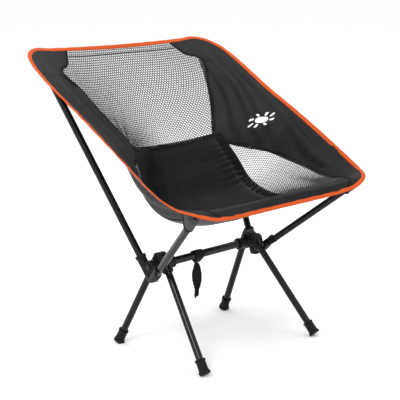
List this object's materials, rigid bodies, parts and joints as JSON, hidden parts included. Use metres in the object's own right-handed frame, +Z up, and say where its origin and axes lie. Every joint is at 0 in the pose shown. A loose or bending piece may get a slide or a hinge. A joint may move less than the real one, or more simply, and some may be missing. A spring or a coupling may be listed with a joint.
{
  "type": "camping chair",
  "caption": "Ultralight backpacking chair: a mesh and ripstop fabric sling with orange edge binding on angled aluminium poles, two moulded pivot hubs, a crossbar and shock-corded legs.",
  "frame": {"origin": "on the ground, under the middle of the bounding box", "axes": "+Z up; the sitter faces -Y; +X is to the right of someone who stands in front and faces the chair, and the parts there are named right"},
  "size_m": [0.6142, 0.5528, 0.6667],
  "materials": {
    "anodised": "black anodised, satin",
    "nylon": "moulded nylon, fine matt grain",
    "rubber": "matt",
    "steel": "plain",
    "elastic": "braided cover",
    "ripstop": "fine woven polyester",
    "netting": "open hexagonal net",
    "orange": "folded grosgrain tape",
    "grey_cloth": "plain weave",
    "webbing": "woven webbing"
  },
  "bodies": {
    "base": {"crossbar": "anodised", "leg_yoke_right": "nylon", "leg_yoke_left": "nylon", "pivot_bolt_right": "steel", "pivot_bolt_left": "steel", "pivot_washer_right": "steel", "pivot_washer_left": "steel", "pivot_nut_right": "steel", "pivot_nut_left": "steel", "leg_cord_front_right": "elastic", "leg_cord_front_left": "elastic", "leg_cord_rear_right": "elastic", "leg_cord_rear_left": "elastic"},
    "seat_frame": {"pole_yoke_right": "nylon", "pole_yoke_left": "nylon", "rear_pole_lower_right": "anodised", "rear_pole_lower_left": "anodised", "rear_pole_upper_right": "anodised", "rear_pole_upper_left": "anodised", "rear_pole_ferrule_right": "anodised", "rear_pole_ferrule_left": "anodised", "front_pole_right": "anodised", "front_pole_left": "anodised", "tip_cap_front_right": "nylon", "tip_cap_front_left": "nylon", "tip_cap_rear_right": "nylon", "tip_cap_rear_left": "nylon", "pole_cord_front_right": "elastic", "pole_cord_front_left": "elastic", "pole_cord_rear_right": "elastic", "pole_cord_rear_left": "elastic", "back_mesh": "netting", "seat_panel": "ripstop", "front_band": "ripstop", "edge_binding": "orange", "side_mesh_right": "netting", "side_mesh_left": "netting", "side_panel_right": "ripstop", "side_panel_left": "ripstop", "corner_patch_front_right": "ripstop", "corner_patch_front_left": "ripstop", "corner_patch_rear_right": "ripstop", "corner_patch_rear_left": "ripstop", "pocket_front_right": "grey_cloth", "pocket_front_left": "grey_cloth", "pocket_rear_right": "grey_cloth", "pocket_rear_left": "grey_cloth"},
    "leg_front_right": {"leg_tube_front_right": "anodised", "foot_front_right": "rubber"},
    "leg_rear_right": {"leg_tube_rear_right": "anodised", "foot_rear_right": "rubber"},
    "leg_front_left": {"leg_tube_front_left": "anodised", "foot_front_left": "rubber"},
    "leg_rear_left": {"leg_tube_rear_left": "anodised", "foot_rear_left": "rubber"},
    "strap_loop": {"strap_loop": "webbing"},
    "strap_tail": {"strap_tail": "webbing"}
  },
  "joints": [
    {"name": "seat_tilt", "type": "hinge", "parent": "base", "child": "seat_frame", "pos_m": [0, -0.0242, 0.203], "axis": [1, 0, 0], "range_deg": [-20, 20]},
    {"name": "leg_pull_front_right", "type": "slide", "parent": "base", "child": "leg_front_right", "axis": [0.1366, -0.6131, -0.7781], "range_m": [0, 0.06], "stiffness_N_per_m": 200, "springref_m": -0.05},
    {"name": "leg_pull_rear_right", "type": "slide", "parent": "base", "child": "leg_rear_right", "axis": [0.1243, 0.4297, -0.8944], "range_m": [0, 0.06], "stiffness_N_per_m": 200, "springref_m": -0.05},
    {"name": "leg_pull_front_left", "type": "slide", "parent": "base", "child": "leg_front_left", "axis": [-0.1366, -0.6131, -0.7781], "range_m": [0, 0.06], "stiffness_N_per_m": 200, "springref_m": -0.05},
    {"name": "leg_pull_rear_left", "type": "slide", "parent": "base", "child": "leg_rear_left", "axis": [-0.1243, 0.4297, -0.8944], "range_m": [0, 0.06], "stiffness_N_per_m": 200, "springref_m": -0.05},
    {"name": "strap_slide", "type": "slide", "parent": "base", "child": "strap_loop", "axis": [1, 0, 0], "range_m": [-0.055, 0.115]},
    {"name": "strap_swing", "type": "hinge", "parent": "strap_loop", "child": "strap_tail", "pos_m": [-0.029, -0.0242, 0.1794], "axis": [1, 0, 0], "range_deg": [-60, 60]}
  ]
}
